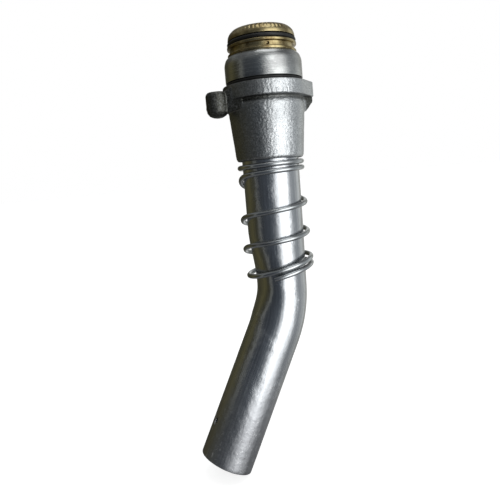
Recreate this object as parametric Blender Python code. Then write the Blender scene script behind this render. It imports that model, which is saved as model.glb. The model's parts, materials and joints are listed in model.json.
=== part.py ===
"""Spout assembly of an automatic fuel nozzle.

+Z runs up the straight part of the spout, towards the inlet, and the spout bends towards -X,
which is the side that faces the ground while filling. The pieces are drawn in millimetres about
the centre of the flange's mating face. At the end the whole assembly is moved so that the origin
is at the bottom centre of its bounding box.
"""

import math

import bmesh
import bpy
from mathutils import Matrix, Vector

MM = 0.001

# Driving dimensions
ROUND = 36  # facets of the large round pieces
SMALL_ROUND = 20  # facets of the small round pieces
FIT_GAP = 0.1  # radial gap between pieces that fit together
ROD_TWIST = 0.07  # turns a rod's facets off the main planes

TUBE_RADIUS = 12.0  # in the bend and the tip
BODY_EXTRA = 0.33  # the straight part of the tube is this much larger in radius
TUBE_WALL = 1.5
TUBE_TOP_Z = -16.4
BEND_START_Z = -87.2
BEND_RADIUS = 47.0
BEND_ANGLE = math.radians(27.0)
TIP_LENGTH = 61.5
END_SLANT = 0.05  # the end's saw cut leaves the inner side this much shorter, per mm across
PINCH_DEPTH = 0.20  # share of the inner half-width that the bending tool presses in

SPIGOT_RADIUS = 16.4
SPIGOT_TOP_Z = 12.0
SPIGOT_BORE = 12.2
SPIGOT_GROOVE_FLOOR = 15.0
FLANGE_RADIUS = 18.2
FLANGE_THICKNESS = 6.0
CONE_TOP_RADIUS = 16.3
CONE_END_RADIUS = 14.5
CONE_END_Z = -31.2
SOCKET_TOP_Z = -16.0
THROUGH_BORE = 10.6

INNER_REACH = 14.0  # how far in the flange's added shapes reach, inside the wall

LUG_X = -22.0
LUG_RADIUS = 4.7
LUG_TOP_Z = -2.2
LUG_HOLE_RADIUS = 2.1
LUG_HOLE_DEPTH = 6.0

TAB_END_X = 19.9
TAB_HALF_WIDTH = 7.0
BOSS_END_X = 20.3
BOSS_HALF_WIDTH = 4.0
PASSAGE_X = 17.7
PASSAGE_RADIUS = 0.9
CROSS_HOLE_RADIUS = 1.2
CROSS_HOLE_Z = -6.2

SPRING_WIRE = 1.08  # wire radius of the retaining spring
SPRING_TURNS = 5.4
SPRING_PITCH = 12.9
SPRING_START = math.radians(19.0)
SPRING_LEFT = 0.61  # the turns ending in this share pass the side away from the start
SPRING_TILT = 1.6  # the closed last coil leans by this much up and down
SPRING_SHIFT = Vector((0.65, -0.26, 0))  # and sits this far off the tube's axis

RING_RADIUS = 14.6
RING_SHANK = 12.9
THROAT_RADIUS = 9.0
SEAT_LINE = 19.7  # radius plus height along the 45 degree seat
VACUUM_HOLES = 4
FIRST_VACUUM_HOLE = math.radians(77.0)

STEM_RADIUS = 1.5
POPPET_DISC_Z = 7.0
GUIDE_Z = -3.9

HOUSING_OFFSET = 6.6  # distance of the ball housing's axis from the tube's axis
HOUSING_RADIUS = 3.6
CHAMBER_RADIUS = 1.75
CHAMBER_FLOOR = 11.5  # distance from the tube's end, along the tip
BALL_RADIUS = 1.59
PORT_DISTANCE = CHAMBER_FLOOR + 5.5
PORT_BUSH_RADIUS = 1.7
HOUSING_TOP = CHAMBER_FLOOR + 13.2
VENT_OUTER = 1.9
VENT_INNER = 1.3
VENT_X = 7.2


def smooth(value, start, end):
    """Goes smoothly from 0 before start to 1 after end."""
    share = min(1.0, max(0.0, (value - start) / (end - start)))
    return share * share * (3 - 2 * share)


def clear_scene():
    for old in list(bpy.data.objects):
        bpy.data.objects.remove(old)


def make_material(name, colour, roughness, metallic):
    made = bpy.data.materials.new(name)
    made.use_nodes = True
    shader = made.node_tree.nodes["Principled BSDF"]
    shader.inputs["Base Color"].default_value = (*colour, 1.0)
    shader.inputs["Roughness"].default_value = roughness
    shader.inputs["Metallic"].default_value = metallic
    made.diffuse_color = (*colour, 1.0)
    return made


def object_from(bm, name, material, smooth_angle=35.0):
    """Turns a bmesh in millimetres into a named object in metres."""
    bmesh.ops.remove_doubles(bm, verts=bm.verts, dist=1e-4)
    bmesh.ops.recalc_face_normals(bm, faces=bm.faces)
    if bm.calc_volume(signed=True) < 0:
        bmesh.ops.reverse_faces(bm, faces=bm.faces)
    bmesh.ops.scale(bm, vec=(MM, MM, MM), verts=bm.verts)
    mesh = bpy.data.meshes.new(name)
    bm.to_mesh(mesh)
    bm.free()
    made = bpy.data.objects.new(name, mesh)
    bpy.context.scene.collection.objects.link(made)
    if material:
        mesh.materials.append(material)
    mesh.shade_smooth()
    mesh.set_sharp_from_angle(angle=math.radians(smooth_angle))
    return made


def revolve(name, outline, material, facets=ROUND, place=None, turn=2 * math.pi):
    """Spins a closed outline of (radius, height) points about Z, then places it."""
    bm = bmesh.new()
    verts = [bm.verts.new((radius, 0.0, height)) for radius, height in outline]
    pairs = [(verts[i - 1], verts[i]) for i in range(len(verts))]
    edges = [bm.edges.new(pair) for pair in pairs if pair[0].co.x + pair[1].co.x > 0]
    full = abs(turn - 2 * math.pi) < 1e-6
    if not full:
        bm.faces.new(verts)
    spun = bmesh.ops.spin(
        bm,
        geom=verts + edges,
        cent=(0, 0, 0),
        axis=(0, 0, 1),
        angle=turn,
        steps=facets,
        use_merge=full,
        use_duplicate=False,
    )
    if not full:
        ends = [item for item in spun["geom_last"] if isinstance(item, bmesh.types.BMVert)]
        order = {round_key(vert, turn): vert for vert in ends}
        bm.faces.new([order[(round(r, 4), round(z, 4))] for r, z in outline])
    if place:
        bmesh.ops.transform(bm, matrix=place, verts=bm.verts)
    return object_from(bm, name, material)


def round_key(vert, turn):
    """The (radius, height) of a spun vertex, rounded so that it can be looked up."""
    radius = vert.co.x * math.cos(turn) + vert.co.y * math.sin(turn)
    return round(radius, 4), round(vert.co.z, 4)


def extrude(name, corners, along):
    """A solid made by sweeping the face between the corners along a vector."""
    bm = bmesh.new()
    near = bm.faces.new([bm.verts.new(corner) for corner in corners])
    far = bmesh.ops.extrude_face_region(bm, geom=[near])
    moved = [item for item in far["geom"] if isinstance(item, bmesh.types.BMVert)]
    bmesh.ops.translate(bm, verts=moved, vec=along)
    return object_from(bm, name, None)


def prism(name, outline, half_width):
    """A solid with the given outline in the XZ plane, and that half-width in Y."""
    corners = [(x, -half_width, z) for x, z in outline]
    return extrude(name, corners, (0, 2 * half_width, 0))


def rod(name, start, end, radius, material=None, facets=SMALL_ROUND):
    """A solid cylinder between two points."""
    start, end = Vector(start), Vector(end)
    along = end - start
    bm = bmesh.new()
    bmesh.ops.create_cone(
        bm, cap_ends=True, segments=facets, radius1=radius, radius2=radius, depth=along.length
    )
    turn = along.to_track_quat("Z", "Y").to_matrix().to_4x4() @ Matrix.Rotation(ROD_TWIST, 4, "Z")
    bmesh.ops.transform(bm, matrix=Matrix.Translation((start + end) / 2) @ turn, verts=bm.verts)
    return object_from(bm, name, material)


def ring_loop(bm, centre, side, up, radius, facets):
    """A closed loop of vertices about centre, in the plane of side and up."""
    points = []
    for i in range(facets):
        angle = 2 * math.pi * i / facets
        points.append(bm.verts.new(centre + radius * (side * math.cos(angle) + up * math.sin(angle))))
    return points


def bridge(bm, first, second):
    """Quads between two loops of the same length."""
    count = len(first)
    for i in range(count):
        j = (i + 1) % count
        bm.faces.new((first[i], first[j], second[j], second[i]))


def wire(name, points, radius, material, facets=8):
    """A solid round wire along a line of points."""
    bm = bmesh.new()
    loops = []
    count = len(points)
    for i, point in enumerate(points):
        tangent = (points[min(i + 1, count - 1)] - points[max(i - 1, 0)]).normalized()
        side = Vector((0, 0, 1)).cross(tangent).normalized()
        loops.append(ring_loop(bm, point, side, tangent.cross(side), radius, facets))
    for first, second in zip(loops, loops[1:]):
        bridge(bm, first, second)
    bm.faces.new(loops[0])
    bm.faces.new(loops[-1])
    return object_from(bm, name, material, 60.0)


def pipe(name, points, outer, inner, material, facets=12):
    """A hollow pipe along a line of points in the XZ plane."""
    bm = bmesh.new()
    side = Vector((0, 1, 0))
    count = len(points)
    outside, inside = [], []
    for i, point in enumerate(points):
        tangent = (points[min(i + 1, count - 1)] - points[max(i - 1, 0)]).normalized()
        up = tangent.cross(side)
        outside.append(ring_loop(bm, point, side, up, outer, facets))
        inside.append(ring_loop(bm, point, side, up, inner, facets))
    for loops in (outside, inside):
        for first, second in zip(loops, loops[1:]):
            bridge(bm, first, second)
    bridge(bm, outside[0], inside[0])
    bridge(bm, outside[-1], inside[-1])
    return object_from(bm, name, material)


def combine(target, others, operation):
    """Adds or cuts away helper solids, which stay hidden as wires."""
    for other in others:
        step = target.modifiers.new(f"{operation.lower()} {other.name}", "BOOLEAN")
        step.operation = operation
        step.solver = "EXACT"
        step.object = other
        other.hide_render = True
        other.display_type = "WIRE"
        other.parent = target


def spout_frame(distance):
    """(centre, direction down the spout, direction to the outside of the bend) at a distance
    along the spout's axis below the bend's start. A negative distance is above the bend."""
    if distance <= 0:
        return Vector((0, 0, BEND_START_Z - distance)), Vector((0, 0, -1)), Vector((1, 0, 0))
    angle = min(distance / BEND_RADIUS, BEND_ANGLE)
    centre = Vector((-BEND_RADIUS * (1 - math.cos(angle)), 0, BEND_START_Z - BEND_RADIUS * math.sin(angle)))
    down = Vector((-math.sin(angle), 0, -math.cos(angle)))
    outward = Vector((math.cos(angle), 0, -math.sin(angle)))
    past = distance - BEND_RADIUS * BEND_ANGLE
    return centre + down * max(0.0, past), down, outward


TIP_DISTANCE = BEND_RADIUS * BEND_ANGLE + TIP_LENGTH


def tip_point(from_end, outward_offset):
    """A point in the straight tip: distance up from the tube's end, offset from its axis."""
    centre, _, outward = spout_frame(TIP_DISTANCE - from_end)
    return centre + outward * outward_offset


def tip_placement(outward_offset):
    """Carries a solid built about Z, with its heights as distances from the tube's end."""
    origin = tip_point(0, outward_offset)
    _, down, outward = spout_frame(TIP_DISTANCE)
    axes = Matrix((outward, -(down.cross(outward)), -down)).transposed().to_4x4()
    return Matrix.Translation(origin) @ axes


def pinch(distance):
    """Share by which the inner half of the tube is pressed in, near the bend's start."""
    return PINCH_DEPTH * smooth(distance, -26, -3) * (1 - smooth(distance, -2, 16))


def tube_loop(bm, distance, radius):
    """A loop of the tube's wall; the loops at the very end lean with the saw cut."""
    centre, down, outward = spout_frame(distance)
    slant = END_SLANT if distance > TIP_DISTANCE - 1 else 0.0
    radius += BODY_EXTRA * (1 - smooth(distance, -30, 4))
    loop = []
    for i in range(ROUND):
        angle = 2 * math.pi * i / ROUND
        across = radius * math.cos(angle)
        if across < 0:
            across *= 1 - pinch(distance) * -math.cos(angle)
        sideways = Vector((0, radius * math.sin(angle), 0))
        loop.append(bm.verts.new(centre + (outward + down * slant) * across + sideways))
    return loop


def build_spout_tube(material):
    """The bent tube, its sensing hole and the slight chamfer at its end."""
    bend_end = BEND_RADIUS * BEND_ANGLE
    distances = [BEND_START_Z - TUBE_TOP_Z, -30, -22, -15, -8]
    distances += [bend_end * i / 7 for i in range(8)]
    distances += [TIP_DISTANCE - 0.4]
    bm = bmesh.new()
    outside = [tube_loop(bm, distance, TUBE_RADIUS) for distance in distances]
    outside.append(tube_loop(bm, TIP_DISTANCE, TUBE_RADIUS - 0.35))
    inner = TUBE_RADIUS - TUBE_WALL
    inside = [tube_loop(bm, distance, inner) for distance in distances]
    inside.append(tube_loop(bm, TIP_DISTANCE, inner + 0.15))
    for loops in (outside, inside):
        for first, second in zip(loops, loops[1:]):
            bridge(bm, first, second)
    bridge(bm, outside[0], inside[0])
    bridge(bm, outside[-1], inside[-1])
    tube = object_from(bm, "spout_tube", material)
    hole = rod(
        "cut_sensing_hole",
        tip_point(PORT_DISTANCE, -TUBE_RADIUS - 3),
        tip_point(PORT_DISTANCE, -TUBE_RADIUS + 4),
        PORT_BUSH_RADIUS + FIT_GAP,
    )
    combine(tube, [hole], "DIFFERENCE")
    return tube


def build_adaptor_casting(material):
    """One casting: machined spigot, flange, screw lug, passage boss and tapered neck."""
    groove_low, groove_high = 0.2, 1.6
    snap_low, snap_high, snap_floor = -0.5, 0.7, 13.2
    seal_low, seal_high, seal_floor = -24.0, -21.8, 13.8
    thread_radius = RING_SHANK + FIT_GAP
    socket = TUBE_RADIUS + BODY_EXTRA + FIT_GAP
    outline = [
        (thread_radius, SPIGOT_TOP_Z),
        (14.7, SPIGOT_TOP_Z),
        (15.5, 11.2),
        (16.1, 10.0),
        (SPIGOT_RADIUS, 8.6),
        (SPIGOT_RADIUS, groove_high),
        (SPIGOT_GROOVE_FLOOR, groove_high),
        (SPIGOT_GROOVE_FLOOR, groove_low),
        (SPIGOT_RADIUS, groove_low),
        (SPIGOT_RADIUS, 0.0),
        (FLANGE_RADIUS, 0.0),
        (FLANGE_RADIUS, -FLANGE_THICKNESS),
        (16.0, -FLANGE_THICKNESS),
        (15.5, -7.3),
        (15.6, -8.4),
        (16.1, -9.3),
        (CONE_TOP_RADIUS, -10.6),
        (CONE_END_RADIUS + 0.1, CONE_END_Z + 0.9),
        (CONE_END_RADIUS - 0.4, CONE_END_Z),
        (socket, CONE_END_Z),
        (socket, seal_low),
        (seal_floor, seal_low),
        (seal_floor, seal_high),
        (socket, seal_high),
        (socket, SOCKET_TOP_Z),
        (THROUGH_BORE, SOCKET_TOP_Z),
        (THROUGH_BORE, GUIDE_Z - FIT_GAP),
        (SPIGOT_BORE, GUIDE_Z - FIT_GAP),
        (SPIGOT_BORE, snap_low),
        (snap_floor, snap_low),
        (snap_floor, snap_high),
        (SPIGOT_BORE, snap_high),
        (SPIGOT_BORE, 3.6),
        (thread_radius, 3.6),
    ]
    casting = revolve("adaptor_casting", outline, material)
    combine(casting, [build_lug(), build_lug_web(), build_tab(), build_passage_boss()], "UNION")
    passage = rod("cut_passage", (PASSAGE_X, 0, 5), (PASSAGE_X, 0, CROSS_HOLE_Z), PASSAGE_RADIUS, None, 12)
    cross_start, cross_end = (8, 0, CROSS_HOLE_Z), (30, 0, CROSS_HOLE_Z)
    cross_hole = rod("cut_cross_hole", cross_start, cross_end, CROSS_HOLE_RADIUS, None, 16)
    combine(casting, [passage, cross_hole], "DIFFERENCE")
    return casting


def build_lug():
    """The screw lug with its rounded rim and blind hole, closed off below like a dome."""
    floor = LUG_TOP_Z - LUG_HOLE_DEPTH
    outline = [
        (3.3, LUG_TOP_Z),
        (4.2, LUG_TOP_Z - 0.5),
        (LUG_RADIUS, LUG_TOP_Z - 1.7),
        (LUG_RADIUS, -9.4),
        (3.9, -11.3),
        (2.3, -12.4),
        (0, -12.8),
        (0, floor - 0.8),
        (LUG_HOLE_RADIUS, floor),
        (LUG_HOLE_RADIUS, LUG_TOP_Z),
    ]
    return revolve("add_lug", outline, None, SMALL_ROUND, Matrix.Translation((LUG_X, 0, 0)))


def build_lug_web():
    """Joins the lug to the flange and the neck, almost as wide as the lug."""
    root = LUG_X + 2.4
    outline = [
        (root, LUG_TOP_Z - 0.3),
        (-17.0, -0.9),
        (-INNER_REACH, -0.9),
        (-INNER_REACH, -10.0),
        (root, -11.1),
    ]
    return prism("add_lug_web", outline, 4.0)


def build_tab():
    """The flange's square end: its sides run off at a tangent to the round."""
    edge = FLANGE_RADIUS - 0.2
    corner = math.atan2(TAB_HALF_WIDTH, TAB_END_X)
    turn = corner + math.acos(edge / math.hypot(TAB_HALF_WIDTH, TAB_END_X))
    blunt = 0.7
    side = [
        (edge * math.cos(turn), edge * math.sin(turn)),
        (TAB_END_X - blunt, TAB_HALF_WIDTH + 0.5 * blunt),
        (TAB_END_X, TAB_HALF_WIDTH - blunt),
    ]
    corners = [(x, y, 0) for x, y in side] + [(x, -y, 0) for x, y in reversed(side)]
    steps = 8
    for i in range(steps + 1):
        angle = turn * (2 * i / steps - 1)
        corners.append((INNER_REACH * math.cos(angle), INNER_REACH * math.sin(angle), 0))
    return extrude("add_tab", corners, (0, 0, -FLANGE_THICKNESS))


def build_passage_boss():
    """Carries the vent passage down from the tab, and is chamfered off towards the neck."""
    outline = [
        (INNER_REACH, -4.6),
        (BOSS_END_X, -4.6),
        (BOSS_END_X, -7.7),
        (16.0, -11.9),
        (INNER_REACH, -11.9),
    ]
    return prism("add_passage_boss", outline, BOSS_HALF_WIDTH)


def build_seat_ring(material):
    """The screwed-in inlet ring: threaded shank, two grooves, throat and conical seat."""
    outline = [
        (SEAT_LINE - 8.3, 4.0),
        (RING_SHANK, 4.0),
        (RING_SHANK, SPIGOT_TOP_Z + FIT_GAP),
        (RING_RADIUS, SPIGOT_TOP_Z + FIT_GAP),
        (RING_RADIUS, 13.1),
        (13.4, 13.1),
        (13.4, 15.3),
        (RING_RADIUS, 15.3),
        (RING_RADIUS, 16.3),
        (12.6, 16.3),
        (12.6, 18.4),
        (RING_RADIUS - 0.4, 18.4),
        (RING_RADIUS - 0.6, 20.0),
        (RING_RADIUS - 1.2, 21.2),
        (RING_RADIUS - 2.2, 22.1),
        (12.0, 22.4),
        (10.6, 20.6),
        (9.6, 18.4),
        (THROAT_RADIUS, 15.6),
        (THROAT_RADIUS, SEAT_LINE - THROAT_RADIUS),
        (SEAT_LINE - 8.3, 8.3),
    ]
    ring = revolve("seat_ring", outline, material)
    holes = []
    for i in range(VACUUM_HOLES):
        spin = Matrix.Rotation(2 * math.pi * i / VACUUM_HOLES + FIRST_VACUUM_HOLE, 3, "Z")
        start = spin @ Vector((13.8, 0, 14.73))
        end = spin @ Vector((8.9, 0, 8.24))
        holes.append(rod(f"cut_vacuum_hole_{i}", start, end, 0.6, None, 10))
    combine(ring, holes, "DIFFERENCE")
    return ring


def o_ring(name, centre_radius, height, section_radius, material):
    """A round-section ring about Z."""
    facets = 6
    outline = []
    for i in range(facets):
        angle = 2 * math.pi * i / facets
        outline.append(
            (centre_radius + section_radius * math.cos(angle), height + section_radius * math.sin(angle))
        )
    return revolve(name, outline, material, ROUND)


def build_poppet(brass, rubber, nickel):
    """The check valve's moving stack: stem with disc, seal, nose and nut."""
    stud = 1.2
    hole = stud + FIT_GAP
    disc = POPPET_DISC_Z
    stem = [
        (0, -12.0),
        (STEM_RADIUS - 0.4, -12.0),
        (STEM_RADIUS, -11.6),
        (STEM_RADIUS, disc - 1.5),
        (3.2, disc - 0.4),
        (3.2, disc),
        (8.4, disc),
        (8.4, disc + 1.6),
        (stud, disc + 1.6),
        (stud, 18.9),
        (0, 18.9),
    ]
    seal = [(hole, 8.7), (10.2, 8.7), (10.2, 9.2), (9.0, 10.4), (hole, 10.4)]
    nose = [(hole, 10.5), (8.4, 10.5), (8.1, 11.6), (7.2, 13.2), (5.6, 14.9), (3.4, 16.1), (hole, 16.4)]
    nut_hole = hole / math.cos(math.pi / 6)
    nut = [(nut_hole, 16.5), (2.6, 16.5), (2.6, 18.1), (nut_hole, 18.1)]
    return [
        revolve("poppet_stem", stem, brass, 32),
        revolve("poppet_seal", seal, rubber, 40),
        revolve("poppet_nose", nose, brass, 40),
        revolve("poppet_nut", nut, nickel, 6),
    ]


def build_poppet_guide(material):
    """The three-armed guide: an outer ring, a hub for the bush, and a seat for the spring."""
    low = GUIDE_Z
    rim = SPIGOT_BORE - FIT_GAP
    ring = [(THROUGH_BORE, low), (rim, low), (rim, -0.7), (THROUGH_BORE, -0.7)]
    guide = revolve("poppet_guide", ring, material)
    hub_outline = [(2.5, -6.2), (3.6, -6.2), (5.4, low), (5.4, -2.7), (3.6, -2.7), (3.6, -1.0), (2.5, -1.0)]
    hub = revolve("add_hub", hub_outline, None, 24)
    arm_outline = [(3.2, low + 0.1), (11.2, low + 0.1), (11.2, -1.9), (4.6, -2.8), (3.2, -2.8)]
    arms = []
    for i in range(3):
        arm = prism(f"add_arm_{i}", arm_outline, 0.9)
        arm.data.transform(Matrix.Rotation(2 * math.pi * i / 3 + math.radians(60), 4, "Z"))
        arms.append(arm)
    combine(guide, [hub, *arms], "UNION")
    return guide


def helix(turns, radius, height_at, steps_per_turn):
    """Points down a right-handed coil; turns count from its upper end."""
    points = []
    count = round(turns * steps_per_turn)
    for i in range(count + 1):
        done = turns * i / count
        angle = -2 * math.pi * done
        points.append(Vector((radius * math.cos(angle), radius * math.sin(angle), height_at(done))))
    return points


def retaining_pitch(turn):
    """Drop per turn of the retaining spring: closed ends, and one stretched coil near the top.
    The open coils drop most steeply on one side."""
    closed = 2 * SPRING_WIRE + 0.15
    open_share = smooth(turn, 0.55, 1.5) * (1 - smooth(turn, 4.0, 4.55))
    steep = max(0.0, math.cos(2 * math.pi * (turn - SPRING_LEFT))) ** 8
    stretched = 9.0 * smooth(turn, 1.5, 1.75) * (1 - smooth(turn, 1.95, 2.25))
    slow_start = -5.0 * smooth(turn, 0.8, 1.1) * (1 - smooth(turn, 1.4, 1.65))
    opened = (SPRING_PITCH - closed) * open_share * (0.73 + 2 * steep)
    return closed + opened + stretched + slow_start


def build_retaining_spring(material):
    """The hold-in spring wound round the tube below the cone. It hugs the tube at its upper end;
    the last coil is closed, tilted and off centre."""
    count = round(SPRING_TURNS * 20)
    step = SPRING_TURNS / count
    height = CONE_END_Z - SPRING_WIRE - 0.15
    tight = TUBE_RADIUS + BODY_EXTRA + SPRING_WIRE + 0.25
    points = []
    for i in range(count + 1):
        turn = i * step
        angle = SPRING_START - 2 * math.pi * turn
        radius = tight + 0.45 * smooth(turn, 1.6, 2.6)
        loose = smooth(turn, 3.6, 4.1)
        tilt = SPRING_TILT * loose * math.cos(2 * math.pi * (turn - SPRING_LEFT - 0.5))
        point = Vector((radius * math.cos(angle), radius * math.sin(angle), height + tilt))
        points.append(point + SPRING_SHIFT * loose)
        height -= retaining_pitch(turn + step / 2) * step
    return wire("retaining_spring", points, SPRING_WIRE, material)


def build_poppet_spring(material):
    """The light spring that holds the poppet against its seat."""
    wire_radius, turns = 0.4, 5.0
    low = -2.7 + wire_radius + 0.1
    high = POPPET_DISC_Z - wire_radius - 0.1
    end_share = 0.12  # of the height, taken by each closed end

    def height_at(turn):
        middle = (turn - 1) / (turns - 2)
        if turn < 1:
            share = end_share * turn
        elif turn > turns - 1:
            share = 1 - end_share * (turns - turn)
        else:
            share = end_share + (1 - 2 * end_share) * middle
        return high - (high - low) * share

    coil = helix(turns, 4.5, height_at, 16)
    return wire("poppet_spring", coil, wire_radius, material, 6)


def vent_point(distance):
    """A point on the vent tube's axis: it starts on the +X side and crosses to the inner side."""
    centre, _, outward = spout_frame(distance)
    crossed = smooth(distance, -60, TIP_DISTANCE - HOUSING_TOP - 10.8)
    return centre + outward * (VENT_X * (1 - crossed) - HOUSING_OFFSET * crossed)


def build_vent_line(brass, nylon):
    """The elbow in the casting's cross hole, and the flexible tube down to the ball housing."""
    corner = 1.6
    leg_end = CROSS_HOLE_Z - 8.5
    elbow = [Vector((14.3, 0, CROSS_HOLE_Z))]
    for i in range(5):
        angle = math.pi / 2 * i / 4
        x = VENT_X + corner * (1 - math.sin(angle))
        z = CROSS_HOLE_Z - corner * (1 - math.cos(angle))
        elbow.append(Vector((x, 0, z)))
    elbow.append(Vector((VENT_X, 0, leg_end)))
    first = BEND_START_Z - (CROSS_HOLE_Z - 3.2)
    last = TIP_DISTANCE - HOUSING_TOP - 0.3
    steps = 16
    line = [vent_point(first + (last - first) * i / steps) for i in range(steps + 1)]
    return [
        pipe("vent_elbow", elbow, CROSS_HOLE_RADIUS - FIT_GAP, 0.7, brass, 12),
        pipe("vent_tube", line, VENT_OUTER, VENT_INNER, nylon, 12),
    ]


def build_ball_valve(brass, steel, acetal):
    """The tip's shut-off ball in its housing, with a seat above it and a plug below it."""
    place = tip_placement(-HOUSING_OFFSET)
    low = CHAMBER_FLOOR - 2.5
    seat_low = CHAMBER_FLOOR + 8.5
    seat_high = seat_low + 2.5
    nipple = VENT_INNER - FIT_GAP
    nipple_top = HOUSING_TOP + 5.8
    bore = 0.7
    housing = revolve(
        "ball_housing",
        [
            (CHAMBER_RADIUS, low),
            (HOUSING_RADIUS - 0.4, low),
            (HOUSING_RADIUS, low + 0.4),
            (HOUSING_RADIUS, HOUSING_TOP - 1.0),
            (HOUSING_RADIUS - 0.8, HOUSING_TOP),
            (nipple, HOUSING_TOP),
            (nipple, nipple_top),
            (bore, nipple_top),
            (bore, seat_high + FIT_GAP),
            (CHAMBER_RADIUS, seat_high + FIT_GAP),
        ],
        brass,
        24,
        place,
    )
    side_hole = rod(
        "cut_housing_port",
        tip_point(PORT_DISTANCE, -HOUSING_OFFSET),
        tip_point(PORT_DISTANCE, -HOUSING_OFFSET - 6),
        PORT_BUSH_RADIUS + FIT_GAP,
    )
    combine(housing, [side_hole], "DIFFERENCE")
    seat = [
        (bore, seat_low + 0.9),
        (CHAMBER_RADIUS - 0.3, seat_low),
        (CHAMBER_RADIUS - FIT_GAP, seat_low),
        (CHAMBER_RADIUS - FIT_GAP, seat_high),
        (bore, seat_high),
    ]
    fit = CHAMBER_RADIUS - FIT_GAP
    plug = [(0, low), (fit, low), (fit, CHAMBER_FLOOR), (0, CHAMBER_FLOOR)]
    bm = bmesh.new()
    bmesh.ops.create_uvsphere(bm, u_segments=16, v_segments=10, radius=BALL_RADIUS)
    rest = tip_point(CHAMBER_FLOOR + BALL_RADIUS + FIT_GAP, -HOUSING_OFFSET)
    ball = object_from(bm, "sensing_ball", steel)
    ball.location = rest * MM
    _, down, outward = spout_frame(TIP_DISTANCE)
    ball.rotation_euler = Matrix((outward, -(down.cross(outward)), -down)).transposed().to_euler()
    return [
        housing,
        revolve("ball_seat", seat, acetal, 24, place),
        revolve("ball_end_plug", plug, brass, 24, place),
        ball,
    ]


def build_port_bush(material):
    """The eyelet that joins the ball housing to the hole in the tube's wall."""
    origin = tip_point(PORT_DISTANCE, 0)
    outward = spout_frame(TIP_DISTANCE)[2]
    place = Matrix.Translation(origin) @ (-outward).to_track_quat("Z", "Y").to_matrix().to_4x4()
    inner_end = HOUSING_OFFSET + CHAMBER_RADIUS + 0.2
    outline = [
        (1.1, inner_end),
        (PORT_BUSH_RADIUS, inner_end),
        (PORT_BUSH_RADIUS, TUBE_RADIUS - 0.15),
        (1.1, TUBE_RADIUS - 0.15),
    ]
    return revolve("sensing_port_bush", outline, material, SMALL_ROUND, place)


def rest_on_origin():
    """Moves the assembly so that the origin is at the bottom centre of its bounding box."""
    graph = bpy.context.evaluated_depsgraph_get()
    graph.update()
    corners = []
    for item in bpy.context.scene.objects:
        if not item.hide_render:
            shown = item.evaluated_get(graph)
            corners += [shown.matrix_world @ Vector(corner) for corner in shown.bound_box]
    low = Vector([min(corner[axis] for corner in corners) for axis in range(3)])
    high = Vector([max(corner[axis] for corner in corners) for axis in range(3)])
    middle = (low + high) / 2
    for item in bpy.context.scene.objects:
        if not item.parent:
            item.location -= Vector((middle.x, middle.y, low.z))


def main():
    clear_scene()
    cast_aluminium = make_material("cast aluminium", (0.47, 0.48, 0.49), 0.45, 1.0)
    drawn_aluminium = make_material("drawn aluminium", (0.56, 0.57, 0.58), 0.28, 1.0)
    brass = make_material("brass", (0.62, 0.47, 0.2), 0.3, 1.0)
    steel = make_material("steel", (0.45, 0.46, 0.47), 0.3, 1.0)
    rubber = make_material("black rubber", (0.02, 0.02, 0.02), 0.6, 0.0)
    nylon = make_material("nylon", (0.75, 0.73, 0.66), 0.45, 0.0)
    acetal = make_material("acetal", (0.8, 0.79, 0.75), 0.4, 0.0)

    build_adaptor_casting(cast_aluminium)
    build_spout_tube(drawn_aluminium)
    build_retaining_spring(steel)
    build_seat_ring(brass)
    o_ring("seat_ring_o_ring", 13.7, 17.35, 0.95, rubber)
    o_ring("spigot_o_ring", SPIGOT_GROOVE_FLOOR + 0.68, 0.9, 0.62, rubber)
    o_ring("tube_o_ring", TUBE_RADIUS + BODY_EXTRA + 0.78, -22.9, 0.66, rubber)

    build_poppet(brass, rubber, steel)
    build_poppet_spring(steel)
    build_poppet_guide(acetal)
    bush = [(1.58, -6.0), (2.4, -6.0), (2.4, -0.9), (1.58, -0.9)]
    revolve("guide_bush", bush, brass, 32)
    snap_ring = [(11.5, -0.35), (13.1, -0.35), (13.1, 0.55), (11.5, 0.55)]
    revolve("guide_snap_ring", snap_ring, steel, 36, None, math.radians(322))

    build_vent_line(brass, nylon)
    plug_start = (PASSAGE_X + PASSAGE_RADIUS + 0.3, 0, CROSS_HOLE_Z)
    plug_end = (BOSS_END_X - 0.2, 0, CROSS_HOLE_Z)
    rod("passage_plug", plug_start, plug_end, CROSS_HOLE_RADIUS - FIT_GAP, brass, 16)
    build_ball_valve(brass, steel, acetal)
    build_port_bush(drawn_aluminium)
    rest_on_origin()


main()
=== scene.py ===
"""Looks of the fuel nozzle spout assembly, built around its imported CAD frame.

Lengths inside the script are in millimetres from the centre of the flange's upper face, with +Z
towards the inlet and the bend towards -X. FLANGE_CENTRE is that place in the CAD's frame, in metres.
"""

import json
import math

import bmesh
import bpy
import numpy as np
from mathutils import Matrix, Vector, noise

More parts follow.
